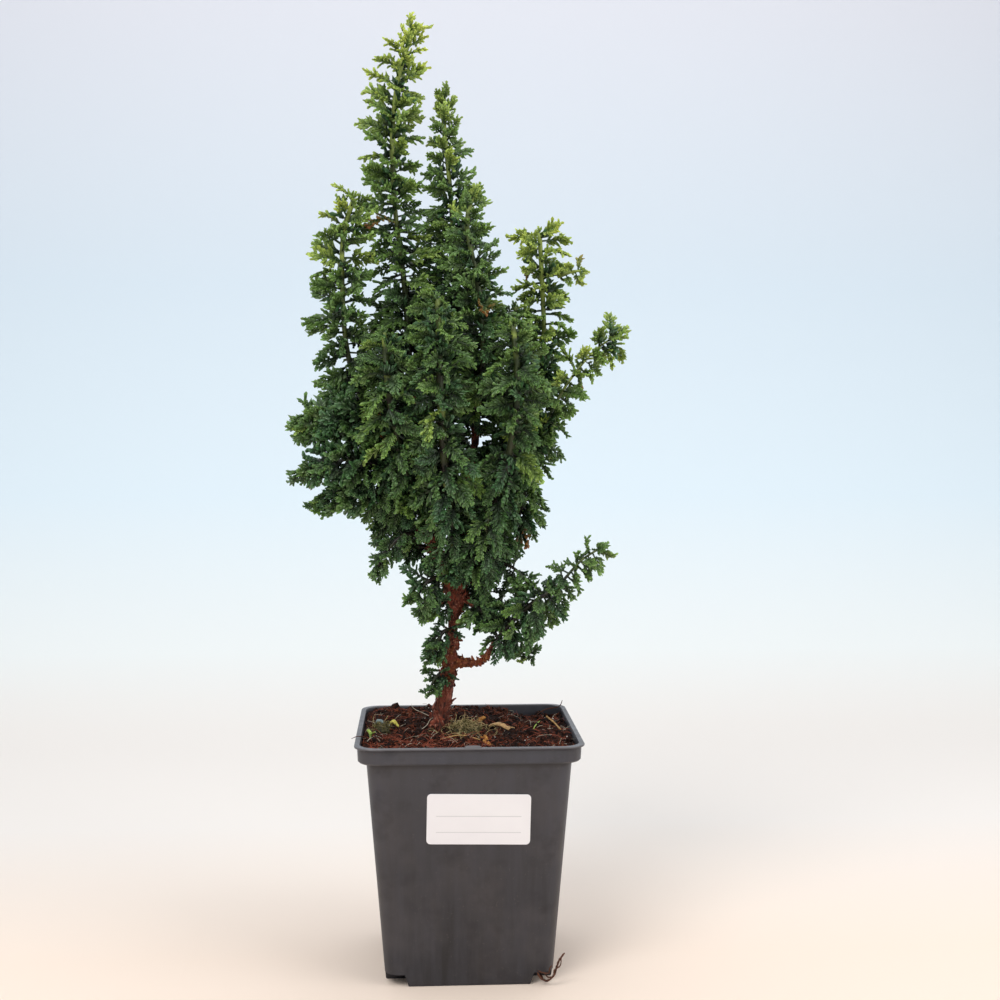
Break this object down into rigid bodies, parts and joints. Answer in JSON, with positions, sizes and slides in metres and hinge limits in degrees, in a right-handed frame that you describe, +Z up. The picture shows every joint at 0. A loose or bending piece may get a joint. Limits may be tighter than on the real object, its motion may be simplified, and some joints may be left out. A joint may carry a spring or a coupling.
{
  "type": "potted cypress bonsai",
  "caption": "Upright conifer bonsai with scale-leaved fan sprays on tall leafy leaders, standing in a tapered square nursery pot filled with soil.",
  "frame": {"origin": "centre of the pot's underside, on the surface it stands on", "axes": "+Z up, the front with the label faces -Y, +X to the right seen from the front"},
  "size_m": [0.1774, 0.1119, 0.4792],
  "materials": {
    "pot_plastic": "dark grey moulded plastic, slightly dusty",
    "label_film": "blank white self-adhesive label",
    "peat": "dark moist peaty soil, rough",
    "bark": "reddish-brown flaky bark",
    "foliage": "scale leaves, dark green inside and yellow-green at the tips",
    "moss": "olive and yellow-green moss",
    "dry_stalk": "dry tan bark and twigs",
    "seedling": "lime green leaves",
    "root_skin": "thin brown root"
  },
  "bodies": {
    "root": {"pot": "pot_plastic", "label": "label_film", "soil": "peat", "trunk": "bark", "leader_main": "foliage", "leader_back": "foliage", "leader_centre": "foliage", "leader_left": "foliage", "leader_right": "foliage", "branch_right": "foliage", "branch_low_right": "foliage", "branch_left_upper": "foliage", "branch_left_middle": "foliage", "branch_left_lower": "foliage", "branch_left_back": "foliage", "branch_left_low": "foliage", "spray_low_middle": "foliage", "spray_hanging": "foliage", "leader_front": "foliage", "leader_front_right": "foliage", "leader_front_left": "foliage", "leader_back_middle": "foliage", "leader_back_right": "foliage", "leader_back_left": "foliage", "spray_right": "foliage", "spray_low_front": "foliage", "spray_low_left": "foliage", "spray_low_back": "foliage", "spray_right_upper": "foliage", "spray_low_right": "foliage", "shoot_right": "foliage", "shoot_upper": "foliage", "shoot_middle": "foliage", "shoot_low": "foliage", "moss_clump": "moss", "moss_lump": "moss", "bark_chip": "dry_stalk", "tan_twig": "dry_stalk", "thin_twig": "dry_stalk", "seedling": "seedling", "drain_root": "root_skin"}
  },
  "joints": []
}
